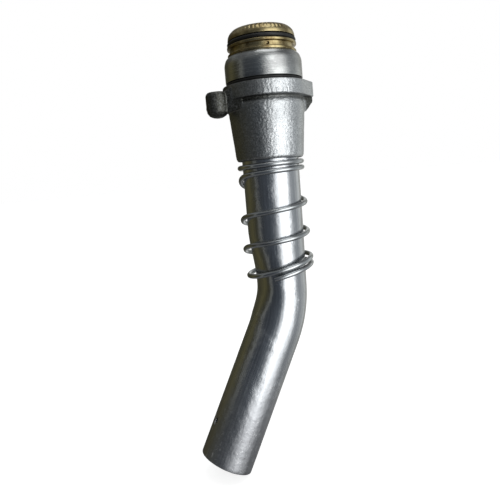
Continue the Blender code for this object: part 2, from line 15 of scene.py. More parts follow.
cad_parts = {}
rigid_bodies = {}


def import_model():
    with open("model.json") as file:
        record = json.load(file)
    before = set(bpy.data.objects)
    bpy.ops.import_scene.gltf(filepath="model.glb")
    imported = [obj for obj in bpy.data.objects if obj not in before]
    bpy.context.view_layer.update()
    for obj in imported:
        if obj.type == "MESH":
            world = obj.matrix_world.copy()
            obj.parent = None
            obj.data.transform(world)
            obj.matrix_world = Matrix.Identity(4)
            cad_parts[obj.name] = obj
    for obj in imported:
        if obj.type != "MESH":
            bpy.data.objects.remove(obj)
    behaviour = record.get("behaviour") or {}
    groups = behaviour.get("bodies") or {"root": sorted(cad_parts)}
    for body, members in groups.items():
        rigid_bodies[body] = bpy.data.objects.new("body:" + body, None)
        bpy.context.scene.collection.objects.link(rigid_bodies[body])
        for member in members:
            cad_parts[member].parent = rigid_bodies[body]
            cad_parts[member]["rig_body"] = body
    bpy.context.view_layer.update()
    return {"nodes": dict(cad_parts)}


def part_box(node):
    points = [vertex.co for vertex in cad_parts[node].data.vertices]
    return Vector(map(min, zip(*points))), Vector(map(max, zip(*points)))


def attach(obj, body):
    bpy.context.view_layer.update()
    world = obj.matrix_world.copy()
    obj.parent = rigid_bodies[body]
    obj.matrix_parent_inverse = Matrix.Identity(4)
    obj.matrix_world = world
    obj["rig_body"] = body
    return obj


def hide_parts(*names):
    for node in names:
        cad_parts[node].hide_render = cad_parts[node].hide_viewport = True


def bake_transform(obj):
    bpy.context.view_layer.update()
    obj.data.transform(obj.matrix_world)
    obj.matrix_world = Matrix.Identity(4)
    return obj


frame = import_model()

MM = 0.001
SPIGOT_TOP_Z = 12.0


def flange_centre():
    ring_low, ring_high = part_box("seat_ring")
    casting_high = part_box("adaptor_casting")[1]
    return Vector(((ring_low.x + ring_high.x) / 2, 0.0, casting_high.z - SPIGOT_TOP_Z * MM))


FLANGE_CENTRE = flange_centre()


def box_mm(node):
    low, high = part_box(node)
    return (low - FLANGE_CENTRE) / MM, (high - FLANGE_CENTRE) / MM


CASTING_LOW, CASTING_HIGH = box_mm("adaptor_casting")
POPPET_LOW, POPPET_HIGH = box_mm("poppet_stem")
TUBE_HIGH = box_mm("spout_tube")[1]
RING_HIGH = box_mm("seat_ring")[1]
COIL_HIGH = box_mm("retaining_spring")[1]

# Tube
TUBE_RADIUS = 12.0  # in the bend and the tip
BODY_EXTRA = TUBE_HIGH.y - TUBE_RADIUS  # the straight part is this much larger in radius
TUBE_WALL = 1.5
TUBE_TOP_Z = TUBE_HIGH.z
BEND_START_Z = -87.2
BEND_RADIUS = 47.0
BEND_ANGLE = math.radians(27.0)
TIP_LENGTH = 61.5
END_SLANT = 0.05  # the end's inner side is this much shorter, per mm across
PINCH_DEPTH = 0.20  # share of the inner half-width that is pressed in at the bend
TIP_DISTANCE = BEND_RADIUS * BEND_ANGLE + TIP_LENGTH

# Casting
FLANGE_RADIUS = CASTING_HIGH.y
FLANGE_THICKNESS = 6.0
SPIGOT_RADIUS = 16.4
SPIGOT_GROOVE_FLOOR = 15.0
SPIGOT_BORE = 12.3
CONE_END_Z = CASTING_LOW.z
CONE_END_RADIUS = 14.5
SOCKET_RADIUS = 12.6
SOCKET_TOP_Z = -16.0
THROUGH_BORE = 10.6
GUIDE_LEDGE_Z = -4.0
INNER_REACH = 14.0  # how far in the flange's added shapes reach, inside the wall
LUG_RADIUS = 4.7
LUG_X = CASTING_LOW.x + LUG_RADIUS
LUG_TOP_Z = -2.2
LUG_HOLE_RADIUS = 2.1
LUG_HOLE_DEPTH = 6.0
BOSS_END_X = CASTING_HIGH.x
TAB_END_X = BOSS_END_X - 0.4
TAB_HALF_WIDTH = 7.0
PASSAGE_X = 17.7
PASSAGE_RADIUS = 0.9
CROSS_HOLE_Z = -6.2
CROSS_HOLE_RADIUS = 1.2
CAST_VOXEL = 0.00028  # metres
MARK_LOW, MARK_HIGH, MARK_RISE = -5.4, -4.0, 0.12  # the plain bars on the flange's rim

# Inlet ring and valve
RING_RADIUS = RING_HIGH.y
RING_TEETH = 48
RING_SHANK = 12.9
THROAT_RADIUS = 9.0
SEAT_LINE = 19.7  # radius plus height along the 45 degree seat
VACUUM_HOLES = 4
FIRST_VACUUM_HOLE = math.radians(77.0)
POPPET_DISC_Z = 7.0
STEM_RADIUS = 1.5

# Retaining spring
COIL_WIRE = 1.08
COIL_TURNS = 5.4
COIL_PITCH = 12.9
COIL_START = math.radians(19.0)  # where its upper end is
COIL_LEFT = 0.61  # the turns ending in this share pass the side away from the start
COIL_TILT = 2.7  # the closed last coil leans by this much up and down
COIL_SHIFT = Vector((0.65, -0.26, 0))  # and sits this far off the tube's axis
COIL_STEPS = 64  # points per turn

# Vent line and ball valve
HOUSING_OFFSET = 6.6
HOUSING_RADIUS = 3.6
CHAMBER_RADIUS = 1.75
CHAMBER_FLOOR = 11.5  # distance from the tube's end, along the tip
PORT_DISTANCE = CHAMBER_FLOOR + 5.5
PORT_BUSH_RADIUS = 1.7
HOUSING_TOP = CHAMBER_FLOOR + 13.2
VENT_X = 7.2
VENT_OUTER = 1.9
VENT_INNER = 1.3

ROD_TWIST = 0.07  # turns a rod's facets off the main planes


# ---- node graphs


class Graph:
    """Short spellings for shader nodes."""

    def __init__(self, tree):
        self.tree = tree

    def node(self, kind, inputs=None, **settings):
        made = self.tree.nodes.new(kind)
        for key, value in settings.items():
            setattr(made, key, value)
        for key, value in (inputs or {}).items():
            if isinstance(value, bpy.types.NodeSocket):
                self.tree.links.new(value, made.inputs[key])
            else:
                made.inputs[key].default_value = value
        return made

    def math(self, operation, first, second=0.0):
        return self.node("ShaderNodeMath", {0: first, 1: second}, operation=operation).outputs[0]

    def stretch(self, vector, scale):
        return self.node("ShaderNodeVectorMath", {0: vector, 1: scale}, operation="MULTIPLY").outputs[0]

    def noise(self, vector, scale, detail=3.0, rough=0.5):
        inputs = {"Vector": vector, "Scale": scale, "Detail": detail, "Roughness": rough}
        return self.node("ShaderNodeTexNoise", inputs).outputs["Fac"]

    def cells(self, vector, scale):
        inputs = {"Vector": vector, "Scale": scale}
        return self.node("ShaderNodeTexVoronoi", inputs).outputs["Distance"]

    def span(self, value, low, high, to_low=0.0, to_high=1.0):
        inputs = {"Value": value, "From Min": low, "From Max": high, "To Min": to_low, "To Max": to_high}
        return self.node("ShaderNodeMapRange", inputs, interpolation_type="SMOOTHSTEP").outputs[0]

    def mix(self, share, first, second):
        """Mixes two colours, each a socket or a tuple."""
        first, second = ((*c, 1.0) if isinstance(c, tuple) else c for c in (first, second))
        inputs = {0: share, 6: first, 7: second}
        return self.node("ShaderNodeMix", inputs, data_type="RGBA").outputs[2]

    def tint(self, colour, value, low, high, target, share=1.0):
        """Turns the colour towards a target where the value goes from low to high."""
        return self.mix(self.span(value, low, high, 0.0, share), colour, target)

    def bump(self, height, distance, strength=1.0, normal=None):
        inputs = {"Height": height, "Distance": distance, "Strength": strength}
        if normal:
            inputs["Normal"] = normal
        return self.node("ShaderNodeBump", inputs).outputs[0]

    def place(self):
        return self.node("ShaderNodeTexCoord").outputs["Object"]

    def attribute(self, name, output):
        return self.node("ShaderNodeAttribute", attribute_name=name).outputs[output]

    def streaks(self, vector, scale, detail, rough):
        """Noise stretched by a scale for each axis."""
        return self.noise(self.stretch(vector, scale), 1.0, detail, rough)

    def edges(self, low, high):
        pointed = self.node("ShaderNodeNewGeometry").outputs["Pointiness"]
        return self.span(pointed, low, high)


def start_material(name, metallic=1.0):
    made = bpy.data.materials.new(name)
    made.use_nodes = True
    shader = made.node_tree.nodes["Principled BSDF"]
    shader.inputs["Metallic"].default_value = metallic
    return made, Graph(made.node_tree), shader


def finish_material(graph, shader, colour, roughness, normal=None):
    links = graph.tree.links
    links.new(colour, shader.inputs["Base Color"])
    links.new(roughness, shader.inputs["Roughness"])
    if normal:
        links.new(normal, shader.inputs["Normal"])


def cast_skin():
    """Die-cast aluminium: grainy, bright on its worn edges, with painted shade on the lug, its web, the
    boss, the recess below the flange, the top face and the -X side.
    """
    made, g, shader = start_material("cast_skin")
    place = g.place()
    broad = g.noise(place, 170, 3, 0.55)
    grain = g.noise(place, 1900, 6, 0.7)
    fine = g.noise(place, 5200, 3, 0.6)
    pits = g.cells(place, 1500)
    painted_shade = g.attribute("painted_shade", "Fac")
    colour = g.mix(g.span(grain, 0.34, 0.68), (0.40, 0.42, 0.43), (0.72, 0.75, 0.765))
    colour = g.tint(colour, broad, 0.40, 0.66, (0.45, 0.47, 0.48), 0.6)
    colour = g.tint(colour, fine, 0.58, 0.68, (0.95, 0.96, 0.98))
    colour = g.tint(colour, pits, 0.34, 0.05, (0.13, 0.135, 0.14), 0.65)
    colour = g.mix(g.edges(0.52, 0.60), colour, (0.80, 0.81, 0.83))
    # Painted shade: the stored share turns the colour near black and raises the roughness, a little less
    # on the lighter grains.
    shade_share = g.math("MULTIPLY", painted_shade, g.span(grain, 0.72, 0.40, 0.75, 1.0))
    colour = g.mix(shade_share, colour, (0.050, 0.050, 0.038))
    rough = g.span(g.math("ADD", grain, g.math("MULTIPLY", broad, 0.6)), 0.55, 1.05, 0.26, 0.40)
    rough = g.math("ADD", rough, g.math("MULTIPLY", shade_share, 0.2))
    low = g.bump(broad, 0.0006, 0.35)
    normal = g.bump(grain, 0.00012, 0.8, low)
    normal = g.bump(pits, 0.00008, 0.35, normal)
    finish_material(g, shader, colour, rough, normal)
    return made


def turned_aluminium():
    """Lathe-turned aluminium with faint rings and handling marks."""
    made, g, shader = start_material("turned_aluminium")
    place = g.place()
    rings = g.streaks(place, (60.0, 60.0, 9000.0), 4, 0.6)
    marks = g.streaks(place, (900.0, 900.0, 2600.0), 4, 0.7)
    broad = g.noise(place, 150, 3, 0.5)
    colour = g.mix(g.span(rings, 0.3, 0.7), (0.37, 0.385, 0.38), (0.55, 0.565, 0.56))
    colour = g.tint(colour, broad, 0.42, 0.66, (0.28, 0.285, 0.285), 0.7)
    colour = g.tint(colour, marks, 0.62, 0.74, (0.95, 0.95, 0.95), 0.75)
    colour = g.mix(g.edges(0.52, 0.62), colour, (0.58, 0.59, 0.59))
    rough = g.span(g.math("ADD", rings, marks), 0.7, 1.3, 0.10, 0.19)
    normal = g.bump(rings, 0.00010, 0.6)
    normal = g.bump(marks, 0.00003, 0.3, normal)
    finish_material(g, shader, colour, rough, normal)
    return made


def drawn_aluminium():
    """Drawn tube: lengthwise streaks, pits and scratches; rubbed dull towards the tip."""
    made, g, shader = start_material("drawn_aluminium")
    flow = g.attribute("flow", "Vector")
    streaks = g.streaks(flow, (1700.0, 1700.0, 22.0), 4, 0.65)
    wide = g.streaks(flow, (260.0, 260.0, 16.0), 3, 0.5)
    mottle = g.noise(flow, 420, 4, 0.6)
    specks = g.noise(flow, 2600, 4, 0.7)
    scuffs = g.streaks(flow, (620.0, 620.0, 240.0), 6, 0.72)
    turned = g.node("ShaderNodeVectorRotate", {"Vector": flow, "Angle": 0.5}, rotation_type="X_AXIS")
    scratches = g.streaks(turned.outputs[0], (900.0, 4200.0, 130.0), 3, 0.6)
    along = g.node("ShaderNodeSeparateXYZ", {0: flow}).outputs["Z"]
    worn = g.span(along, 0.018, TIP_DISTANCE * MM)
    where = g.math("ADD", g.noise(flow, 75, 2, 0.5), g.math("MULTIPLY", worn, 0.16))
    patch = g.span(where, 0.50, 0.66)
    colour = g.mix(g.span(streaks, 0.3, 0.7), (0.49, 0.51, 0.53), (0.62, 0.64, 0.66))
    colour = g.tint(colour, specks, 0.62, 0.72, (0.24, 0.25, 0.265), 0.7)
    colour = g.tint(colour, wide, 0.42, 0.70, (0.41, 0.43, 0.45), 0.6)
    colour = g.tint(colour, worn, 0.3, 1.0, (0.27, 0.275, 0.29), 0.6)
    scuffed = g.math("MULTIPLY", g.span(scuffs, 0.60, 0.70), patch)
    colour = g.mix(scuffed, colour, (0.80, 0.81, 0.82))
    scratched = g.math("MULTIPLY", g.span(scratches, 0.63, 0.70), patch)
    colour = g.mix(scratched, colour, (0.85, 0.86, 0.87))
    colour = g.mix(g.edges(0.53, 0.62), colour, (0.66, 0.67, 0.68))
    rough = g.span(g.math("ADD", streaks, wide), 0.7, 1.3, 0.15, 0.28)
    rough = g.math("ADD", rough, g.math("MULTIPLY", scuffed, 0.22))
    rough = g.math("ADD", rough, g.math("MULTIPLY", worn, 0.22))
    normal = g.bump(streaks, 0.00003, 0.45)
    normal = g.bump(wide, 0.00014, 0.25, normal)
    dented = g.math("MULTIPLY", mottle, g.span(where, 0.42, 0.62, 0.4, 1.1))
    normal = g.bump(dented, 0.00036, 0.5, normal)
    normal = g.bump(specks, 0.00003, 0.4, normal)
    normal = g.bump(g.math("MULTIPLY", scuffs, patch), 0.00022, 0.45, normal)
    finish_material(g, shader, colour, rough, normal)
    return made


def tarnished_brass():
    """Turned brass, dull and olive with age, brighter where it is rubbed, brown in the grooves."""
    made, g, shader = start_material("tarnished_brass")
    place = g.place()
    rings = g.streaks(place, (80.0, 80.0, 8000.0), 4, 0.6)
    broad = g.noise(place, 210, 4, 0.6)
    spots = g.noise(place, 2400, 4, 0.7)
    colour = g.mix(g.span(rings, 0.3, 0.7), (0.31, 0.25, 0.115), (0.58, 0.49, 0.28))
    colour = g.tint(colour, broad, 0.42, 0.66, (0.20, 0.145, 0.065))
    colour = g.tint(colour, spots, 0.58, 0.72, (0.10, 0.065, 0.03), 0.7)
    colour = g.mix(g.edges(0.49, 0.42), colour, (0.08, 0.055, 0.03))
    colour = g.mix(g.edges(0.515, 0.60), colour, (0.70, 0.61, 0.36))
    rough = g.span(g.math("ADD", rings, broad), 0.7, 1.3, 0.17, 0.34)
    normal = g.bump(rings, 0.00004, 0.5)
    normal = g.bump(spots, 0.00004, 0.4, normal)
    finish_material(g, shader, colour, rough, normal)
    return made


def clean_brass():
    """Turned brass that fuel has kept clean."""
    made, g, shader = start_material("clean_brass")
    place = g.place()
    rings = g.streaks(place, (90.0, 90.0, 7000.0), 3, 0.6)
    broad = g.noise(place, 320, 3, 0.6)
    colour = g.mix(g.span(rings, 0.3, 0.7), (0.62, 0.45, 0.16), (0.80, 0.62, 0.28))
    colour = g.tint(colour, broad, 0.5, 0.72, (0.42, 0.29, 0.10), 0.6)
    colour = g.mix(g.edges(0.52, 0.60), colour, (0.92, 0.76, 0.42))
    rough = g.span(rings, 0.3, 0.7, 0.20, 0.34)
    finish_material(g, shader, colour, rough, g.bump(rings, 0.00003, 0.5))
    return made


def spring_wire():
    """Drawn steel wire: grey, with lengthwise lines and duller stretches."""
    made, g, shader = start_material("spring_wire")
    flow = g.attribute("flow", "Vector")
    lines = g.streaks(flow, (4200.0, 4200.0, 50.0), 3, 0.6)
    broad = g.streaks(flow, (500.0, 500.0, 110.0), 4, 0.6)
    colour = g.mix(g.span(lines, 0.3, 0.7), (0.36, 0.38, 0.39), (0.60, 0.63, 0.645))
    colour = g.tint(colour, broad, 0.50, 0.68, (0.26, 0.265, 0.265), 0.7)
    rough = g.span(broad, 0.35, 0.65, 0.16, 0.28)
    finish_material(g, shader, colour, rough, g.bump(lines, 0.00003, 0.6))
    return made


def bright_steel():
    """Ground steel for the nut, the ball and the clip."""
    made, g, shader = start_material("bright_steel")
    place = g.place()
    haze = g.noise(place, 900, 4, 0.6)
    colour = g.mix(g.span(haze, 0.35, 0.68), (0.46, 0.465, 0.47), (0.68, 0.685, 0.69))
    rough = g.span(haze, 0.35, 0.65, 0.14, 0.30)
    finish_material(g, shader, colour, rough, g.bump(haze, 0.00002, 0.4))
    return made


def black_rubber():
    """Moulded nitrile rubber with a little dust."""
    made, g, shader = start_material("black_rubber", 0.0)
    place = g.place()
    dust = g.noise(place, 1600, 5, 0.7)
    broad = g.noise(place, 240, 3, 0.5)
    colour = g.mix(g.span(dust, 0.55, 0.75, 0.0, 0.5), (0.010, 0.010, 0.010), (0.06, 0.058, 0.053))
    rough = g.span(broad, 0.35, 0.65, 0.38, 0.62)
    finish_material(g, shader, colour, rough, g.bump(dust, 0.00003, 0.4))
    return made


def moulded_plastic(name, colour, shade, transmission):
    """Unpigmented nylon or acetal: milky, with a soft waxy surface."""
    made, g, shader = start_material(name, 0.0)
    place = g.place()
    cloud = g.noise(place, 260, 4, 0.6)
    fine = g.noise(place, 3600, 3, 0.6)
    tint = g.mix(g.span(cloud, 0.35, 0.68), colour, shade)
    rough = g.span(fine, 0.35, 0.65, 0.30, 0.46)
    shader.inputs["Subsurface Weight"].default_value = 0.25
    shader.inputs["Subsurface Radius"].default_value = (0.002, 0.0018, 0.0012)
    shader.inputs["Transmission Weight"].default_value = transmission
    finish_material(g, shader, tint, rough, g.bump(fine, 0.00002, 0.35))
    return made


# ---- mesh helpers


def smooth(value, start, end):
    """0 before start, 1 after end, and a smooth turn between. Takes a number or an array."""
    share = np.clip((np.asarray(value, float) - start) / (end - start), 0.0, 1.0)
    return share * share * (3 - 2 * share)


def add_object(name, data):
    made = bpy.data.objects.new(name, data)
    bpy.context.scene.collection.objects.link(made)
    return made


def rounded(outline):
    """Rounds the corners of a closed outline of (radius, height, corner radius) points."""
    result = []
    count = len(outline)
    for i, (radius, height, corner) in enumerate(outline):
        here = Vector((radius, height))
        before = Vector(outline[i - 1][:2]) - here
        after = Vector(outline[(i + 1) % count][:2]) - here
        reach = min(corner, 0.45 * before.length, 0.45 * after.length)
        if reach < 1e-4:
            result.append(tuple(here))
            continue
        first = here + before.normalized() * reach
        last = here + after.normalized() * reach
        for j in range(5):
            share = j / 4
            point = first * (1 - share) ** 2 + here * 2 * share * (1 - share) + last * share**2
            result.append(tuple(point))
    return result


def finish_mesh(bm, name, material, smooth_angle=40.0, place=None):
    """Turns a bmesh in millimetres into a named object in metres, facing out."""
    if place:
        bmesh.ops.transform(bm, matrix=place, verts=bm.verts)
    bmesh.ops.recalc_face_normals(bm, faces=bm.faces)
    if bm.calc_volume(signed=True) < 0:
        bmesh.ops.reverse_faces(bm, faces=bm.faces)
    bmesh.ops.scale(bm, vec=(MM, MM, MM), verts=bm.verts)
    bmesh.ops.translate(bm, vec=FLANGE_CENTRE, verts=bm.verts)
    mesh = bpy.data.meshes.new(name)
    bm.to_mesh(mesh)
    bm.free()
    made = add_object(name, mesh)
    if material:
        mesh.materials.append(material)
    mesh.shade_smooth()
    mesh.set_sharp_from_angle(angle=math.radians(smooth_angle))
    return made


def join_rows(bm, rows, wrap_rows):
    """Quads between rows of vertices that each close on themselves; a row of one is a pole."""
    pairs = list(zip(rows, rows[1:]))
    if wrap_rows:
        pairs.append((rows[-1], rows[0]))
    for first, second in pairs:
        count = max(len(first), len(second))
        for i in range(count):
            j = (i + 1) % count
            if len(first) == 1:
                bm.faces.new((first[0], second[j], second[i]))
            elif len(second) == 1:
                bm.faces.new((first[i], first[j], second[0]))
            else:
                bm.faces.new((first[i], first[j], second[j], second[i]))


def lathe(name, outline, material, facets=96, place=None, reshape=None):
    """Spins an outline about Z. Its points are (radius, height), or (radius, height, corner
    radius) where the corners are to be rounded. reshape may move each point."""
    if len(outline[0]) == 3:
        outline = rounded(outline)
    bm = bmesh.new()
    rows = []
    for radius, height in outline:
        if radius < 1e-6:
            rows.append([bm.verts.new((0, 0, height))])
            continue
        row = []
        for i in range(facets):
            angle = 2 * math.pi * i / facets
            out, up = reshape(radius, height, angle) if reshape else (radius, height)
            row.append(bm.verts.new((out * math.cos(angle), out * math.sin(angle), up)))
        rows.append(row)
    join_rows(bm, rows, len(rows[0]) > 1)
    return finish_mesh(bm, name, material, 40.0, place)


def extrude(name, corners, along):
    """A solid made by sweeping the face between the corners along a vector."""
    bm = bmesh.new()
    near = bm.faces.new([bm.verts.new(corner) for corner in corners])
    far = bmesh.ops.extrude_face_region(bm, geom=[near])
    moved = [item for item in far["geom"] if isinstance(item, bmesh.types.BMVert)]
    bmesh.ops.translate(bm, verts=moved, vec=along)
    return finish_mesh(bm, name, None)


def tapered_bar(name, sections):
    """A solid along X through rectangles given as (x, half-width, low, high)."""
    bm = bmesh.new()
    rows = []
    for x, half, low, high in sections:
        corners = ((x, -half, low), (x, half, low), (x, half, high), (x, -half, high))
        rows.append([bm.verts.new(corner) for corner in corners])
    join_rows(bm, rows, False)
    bm.faces.new(rows[0])
    bm.faces.new(rows[-1])
    return finish_mesh(bm, name, None)


def rod(name, start, end, radius, facets=32):
    """A solid cylinder between two points."""
    start, end = Vector(start), Vector(end)
    along = end - start
    turn = along.to_track_quat("Z", "Y").to_matrix().to_4x4() @ Matrix.Rotation(ROD_TWIST, 4, "Z")
    place = Matrix.Translation((start + end) / 2) @ turn
    bm = bmesh.new()
    bmesh.ops.create_cone(
        bm, cap_ends=True, segments=facets, radius1=radius, radius2=radius, depth=along.length
    )
    return finish_mesh(bm, name, None, 40.0, place)


def combine(target, others, operation):
    """Adds or cuts away the other solids and leaves the target with the resulting mesh."""
    for other in others:
        step = target.modifiers.new("step", "BOOLEAN")
        step.operation = operation
        step.solver = "EXACT"
        step.object = other
    apply_modifiers(target)
    for other in others:
        bpy.data.objects.remove(other)


def apply_modifiers(target):
    """Replaces the object's mesh with its evaluated mesh."""
    shown = target.evaluated_get(bpy.context.evaluated_depsgraph_get())
    mesh = bpy.data.meshes.new_from_object(shown)
    target.modifiers.clear()
    target.data = mesh


def points_of(mesh):
    """The mesh's vertices as an array in millimetres from the flange's centre."""
    flat = np.empty(len(mesh.vertices) * 3)
    mesh.vertices.foreach_get("co", flat)
    return (flat.reshape(-1, 3) - np.array(FLANGE_CENTRE)) / MM


def normals_of(mesh):
    flat = np.empty(len(mesh.vertices) * 3)
    mesh.vertices.foreach_get("normal", flat)
    return flat.reshape(-1, 3)


def set_points(mesh, points):
    mesh.vertices.foreach_set("co", (points * MM + np.array(FLANGE_CENTRE)).ravel())
    mesh.update()


def set_flow(mesh, values):
    """Stores (across, across, along) in metres, for marks that run along a bent piece."""
    made = mesh.attributes.new("flow", "FLOAT_VECTOR", "POINT")
    made.data.foreach_set("vector", (values * MM).astype(np.float32).ravel())


def ripple(points, size, seed):
    """Smooth noise between about -1 and 1, with features of the given size in millimetres."""
    shift = Vector((seed * 3.1, seed * 5.7, seed * 1.3))
    return np.array([noise.noise(Vector(point) / size + shift) for point in points]) * 1.6


def own(piece, node, rides=True):
    """Lets a piece stand for a CAD node, and ride on the node's body.
    A piece that is blended across a joint doesn't ride."""
    if rides:
        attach(piece, frame["nodes"][node]["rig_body"])
    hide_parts(node)


def turned_piece(node, outline, material, facets=96, place=None, reshape=None):
    """A lathed piece that stands for a CAD node."""
    own(lathe(node + "_skin", outline, material, facets, place, reshape), node)


# ---- spout tube


def spout_frame(distance):
    """(centre, down the spout, outside of the bend) at a distance below the bend's start."""
    if distance <= 0:
        return Vector((0, 0, BEND_START_Z - distance)), Vector((0, 0, -1)), Vector((1, 0, 0))
    angle = min(distance / BEND_RADIUS, BEND_ANGLE)
    x = -BEND_RADIUS * (1 - math.cos(angle))
    z = BEND_START_Z - BEND_RADIUS * math.sin(angle)
    down = Vector((-math.sin(angle), 0, -math.cos(angle)))
    outward = Vector((math.cos(angle), 0, -math.sin(angle)))
    past = max(0.0, distance - BEND_RADIUS * BEND_ANGLE)
    return Vector((x, 0, z)) + down * past, down, outward


def tip_point(from_end, outward_offset):
    centre, _, outward = spout_frame(TIP_DISTANCE - from_end)
    return centre + outward * outward_offset


def tip_placement(outward_offset):
    """Carries a solid built about Z, with its heights as distances from the tube's end."""
    _, down, outward = spout_frame(TIP_DISTANCE)
    axes = Matrix((outward, -(down.cross(outward)), -down)).transposed().to_4x4()
    return Matrix.Translation(tip_point(0, outward_offset)) @ axes


def pinch(distance):
    """Share by which the inner half of the tube is pressed in, near the bend's start."""
    return float(PINCH_DEPTH * smooth(distance, -26, -3) * (1 - smooth(distance, -2, 16)))


def body_extra(distance):
    """How much larger in radius the straight part of the tube is."""
    return BODY_EXTRA * (1 - smooth(distance, -30, 4))


def tube_flow(points):
    """(across, across, along) of points on the tube."""
    centre_x = -BEND_RADIUS
    away_x = points[:, 0] - centre_x
    away_z = BEND_START_Z - points[:, 2]
    turned = np.clip(np.arctan2(away_z, away_x), 0.0, BEND_ANGLE)
    centre = np.stack(
        [centre_x + BEND_RADIUS * np.cos(turned), BEND_START_Z - BEND_RADIUS * np.sin(turned)], axis=1
    )
    down = np.stack([-np.sin(turned), -np.cos(turned)], axis=1)
    out = np.stack([np.cos(turned), -np.sin(turned)], axis=1)
    offset = points[:, [0, 2]] - centre
    along = BEND_RADIUS * turned + (offset * down).sum(axis=1)
    return np.stack([(offset * out).sum(axis=1), points[:, 1], along], axis=1)


def tube_row(bm, distance, radius, facets, slant=0.0):
    centre, down, outward = spout_frame(distance)
    radius += float(body_extra(distance))
    row = []
    for i in range(facets):
        angle = 2 * math.pi * i / facets
        across = radius * math.cos(angle)
        if across < 0:
            across *= 1 - pinch(distance) * -math.cos(angle)
        sideways = Vector((0, radius * math.sin(angle), 0))
        row.append(bm.verts.new(centre + (outward + down * slant) * across + sideways))
    return row


def tube_solid(material):
    """The bent tube with its dressed end and its sensing hole."""
    facets = 112
    steps = 96
    start = BEND_START_Z - TUBE_TOP_Z
    end = TIP_DISTANCE - 1.6
    distances = [start + (end - start) * i / steps for i in range(steps + 1)]
    inner = TUBE_RADIUS - TUBE_WALL
    dressed = [
        (TIP_DISTANCE - 0.5, TUBE_RADIUS), (TIP_DISTANCE - 0.15, TUBE_RADIUS - 0.12),
        (TIP_DISTANCE, TUBE_RADIUS - 0.42), (TIP_DISTANCE, inner + 0.3), (TIP_DISTANCE - 0.4, inner),
    ]
    bm = bmesh.new()
    rows = [tube_row(bm, distance, TUBE_RADIUS, facets) for distance in distances]
    rows += [tube_row(bm, distance, radius, facets, END_SLANT) for distance, radius in dressed]
    rows += [tube_row(bm, distance, inner, facets) for distance in reversed(distances)]
    join_rows(bm, rows, True)
    tube = finish_mesh(bm, "spout_tube_skin", material)
    outside = tip_point(PORT_DISTANCE, -TUBE_RADIUS - 3)
    inside = tip_point(PORT_DISTANCE, -TUBE_RADIUS + 4)
    combine(tube, [rod("hole", outside, inside, PORT_BUSH_RADIUS + 0.12, 40)], "DIFFERENCE")
    return tube


def build_spout_tube(material):
    """The tube with the small dents of use, deepest near its end."""
    tube = tube_solid(material)
    mesh = tube.data
    points = points_of(mesh)
    flow = tube_flow(points)
    outside = np.hypot(flow[:, 0], flow[:, 1]) > TUBE_RADIUS - 0.9
    worn = smooth(flow[:, 2], TIP_DISTANCE - 30, TIP_DISTANCE)
    broad = np.abs(ripple(points, 9.0, 1)) * 0.03
    small = np.abs(ripple(points, 3.0, 2)) * 0.022 * (1 + worn)
    points -= normals_of(mesh) * ((broad + small) * outside)[:, None]
    set_points(mesh, points)
    set_flow(mesh, flow)
    own(tube, "spout_tube")


# ---- casting


def casting_marks(points):
    """Where the small plain bars stand out on the front of the flange's rim."""
    angle = np.degrees(np.arctan2(points[:, 1], points[:, 0])) % 360
    radius = np.hypot(points[:, 0], points[:, 1])
    z = points[:, 2]
    on_rim = (radius > FLANGE_RADIUS - 1.2) & (z < -0.6) & (z > -5.6)
    along = smooth(z, MARK_LOW - 0.2, MARK_LOW + 0.2)
    along *= 1 - smooth(z, MARK_HIGH - 0.2, MARK_HIGH + 0.2)
    rise = np.zeros(len(points))
    for start, width in ((261, 1.8), (264.5, 1.0), (267, 2.4), (271.5, 1.0), (274, 1.8), (277.5, 1.0)):
        end = start + width
        across = smooth(angle, start - 0.5, start + 0.5) * (1 - smooth(angle, end - 0.5, end + 0.5))
        rise += across * along
    return rise * on_rim


def casting_painted_shade(points):
    """Share of painted shade: most on the lug, its web and the boss, some below the flange, on the
    flange's top face and over the -X side.
    """
    x, z = points[:, 0], points[:, 2]
    radius = np.hypot(x, points[:, 1])
    # Painted shade on the lug, a little less towards its outer side, and in the web, the recess below the
    # flange and the boss.
    lug_shade_eased = 0.14 * smooth(-x, 20.0, 23.0)
    lug = smooth(-x, 17.0, 18.6) * smooth(-z, -0.5, 2.0) * (0.92 - lug_shade_eased)
    web = smooth(-x, 12.0, 15.0) * smooth(radius, 16.4, 17.0) * smooth(-z, 5.9, 6.5) * 0.92
    recess = smooth(-z, 5.7, 6.2) * (1 - smooth(-z, 6.7, 7.8)) * 0.75
    boss = smooth(x, 14.5, 16.8) * smooth(-z, 5.9, 6.6) * smooth(radius, 15.8, 16.8) * 0.92
    # Painted shade on the flange's top face and over the -X side.
    face = smooth(z, -0.3, 0.0) * 0.5
    shaded_side = smooth(-x, 2.0, 14.0) * 0.62
    return np.clip(lug + web + recess + boss + face + shaded_side, 0.0, 0.95)


def build_lug():
    """The screw lug: rounded rim, blind hole and a domed underside."""
    floor = LUG_TOP_Z - LUG_HOLE_DEPTH
    outline = [
        (0, floor - 0.8), (LUG_HOLE_RADIUS, floor), (LUG_HOLE_RADIUS, LUG_TOP_Z - 0.3),
        (LUG_HOLE_RADIUS + 0.3, LUG_TOP_Z), (3.2, LUG_TOP_Z), (3.9, LUG_TOP_Z - 0.25),
        (4.4, LUG_TOP_Z - 0.8), (LUG_RADIUS, LUG_TOP_Z - 1.7), (LUG_RADIUS, -9.2), (4.4, -10.6),
        (3.5, -11.8), (2.0, -12.6), (0, -12.8),
    ]
    return lathe("lug", outline, None, 48, Matrix.Translation((LUG_X, 0, 0)))


